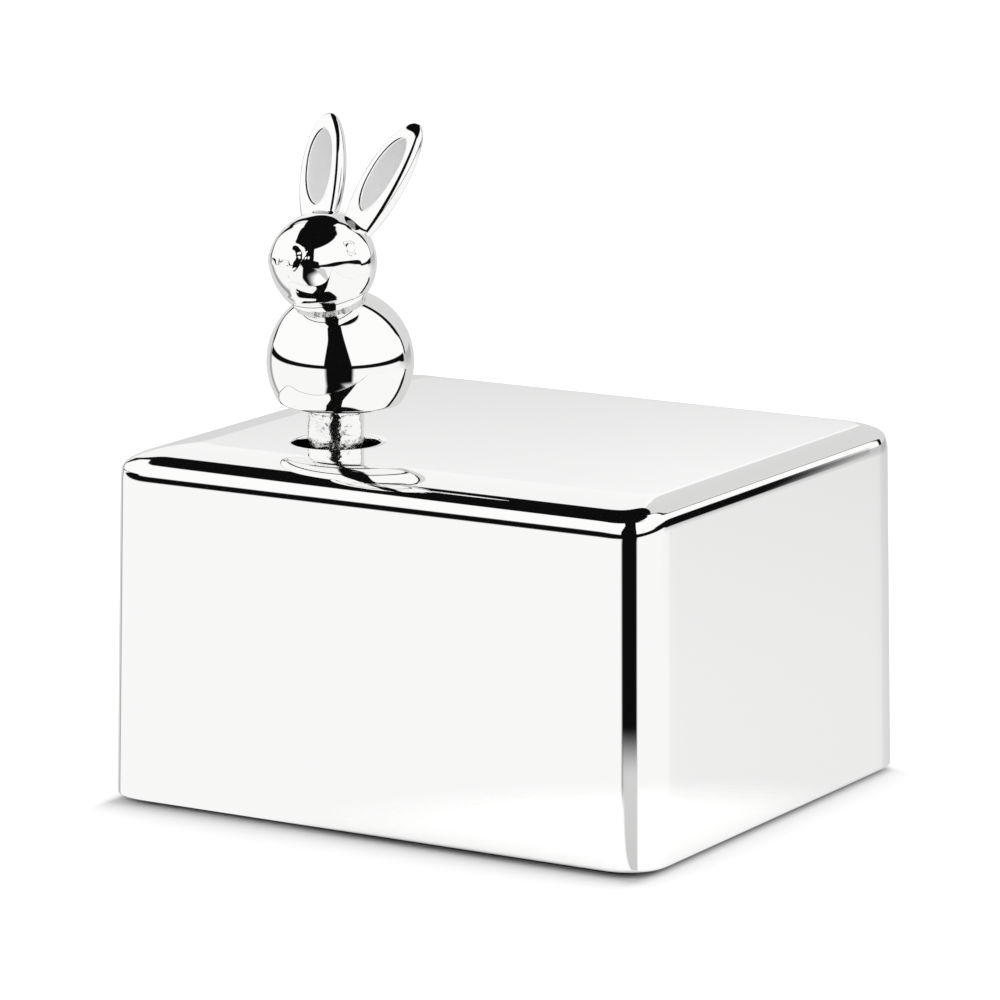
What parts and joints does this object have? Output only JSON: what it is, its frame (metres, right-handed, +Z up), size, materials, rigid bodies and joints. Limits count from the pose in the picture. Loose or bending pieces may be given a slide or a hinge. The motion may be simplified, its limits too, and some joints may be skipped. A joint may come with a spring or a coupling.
{
  "type": "music box",
  "caption": "Silver plated music box: a rounded rectangular case with a rabbit on its winding shaft, and a pinned cylinder movement with comb and governor inside.",
  "frame": {"origin": "on the table, under the middle of the case's footprint", "axes": "+Z up, the front that the rabbit faces towards -Y, and +X to the right seen from the front; the winding shaft stands at x -18.4 mm, y -17.3 mm"},
  "size_m": [0.09, 0.078, 0.0976],
  "materials": {
    "silver_plate": "silver plated and mirror polished",
    "cast_silver_plate": "silver plated over a rough casting",
    "brass": "machined",
    "steel": "machined",
    "blued_steel": "hardened and blued",
    "cast_zinc": "die cast, matt",
    "black_board": "black fibreboard",
    "black_felt": "felt",
    "black_rubber": "matt",
    "white_plastic": "moulded"
  },
  "bodies": {
    "case": {"box_shell": "silver_plate", "base_board": "black_board", "felt_pad": "black_felt", "base_screw_1": "steel", "base_screw_2": "steel", "base_screw_3": "steel", "base_screw_4": "steel", "bedplate": "cast_zinc", "rubber_washer_1": "black_rubber", "rubber_washer_2": "black_rubber", "rubber_washer_3": "black_rubber", "movement_screw_1": "steel", "movement_screw_2": "steel", "movement_screw_3": "steel", "spring_barrel": "steel", "barrel_floor": "steel", "mainspring": "blued_steel", "barrel_screw_1": "blued_steel", "barrel_screw_2": "blued_steel", "front_bracket": "brass", "rear_bracket": "brass", "front_bracket_screw": "blued_steel", "rear_bracket_screw": "blued_steel", "comb": "steel", "comb_screw_1": "blued_steel", "comb_screw_2": "blued_steel", "comb_screw_3": "blued_steel", "governor_frame": "cast_zinc", "governor_screw_1": "blued_steel", "governor_screw_2": "blued_steel"},
    "great_wheel": {"great_wheel": "brass"},
    "rabbit_knob": {"rabbit_body": "silver_plate", "rabbit_head": "silver_plate", "rabbit_ear_left": "silver_plate", "rabbit_ear_right": "silver_plate", "figure_post": "cast_silver_plate", "shaft_extension": "brass", "lock_nut": "steel", "winding_arbor": "steel", "click_spring": "blued_steel"},
    "cylinder": {"pinned_cylinder": "brass", "cylinder_arbor": "steel", "cylinder_pinion": "steel", "cylinder_wheel": "brass"},
    "governor_wheel": {"governor_wheel": "brass"},
    "worm_and_fan": {"worm": "steel", "fan": "white_plastic"}
  },
  "joints": [
    {"name": "play_turn", "type": "hinge", "parent": "case", "child": "great_wheel", "pos_m": [-0.0184, -0.0173, 0.0101], "axis": [0, 0, 1], "continuous": true},
    {"name": "winding_turn", "type": "hinge", "parent": "great_wheel", "child": "rabbit_knob", "pos_m": [-0.0184, -0.0173, 0.0101], "axis": [0, 0, 1], "range_deg": [0, 1170]},
    {"name": "cylinder_spin", "type": "hinge", "parent": "case", "child": "cylinder", "pos_m": [-0.0184, -0.0031, 0.0187], "axis": [0, 1, 0], "continuous": true},
    {"name": "governor_spin", "type": "hinge", "parent": "case", "child": "governor_wheel", "pos_m": [-0.02715, 0.0161, 0.0187], "axis": [0, 1, 0], "continuous": true},
    {"name": "worm_spin", "type": "hinge", "parent": "case", "child": "worm_and_fan", "pos_m": [-0.03275, 0.0204, 0.0122], "axis": [0, 0, 1], "continuous": true}
  ],
  "couplings": [
    {"joint": "cylinder_spin", "follows": "play_turn", "ratio": 3.6667},
    {"joint": "governor_spin", "follows": "play_turn", "ratio": -19.25},
    {"joint": "worm_spin", "follows": "play_turn", "ratio": 385}
  ]
}
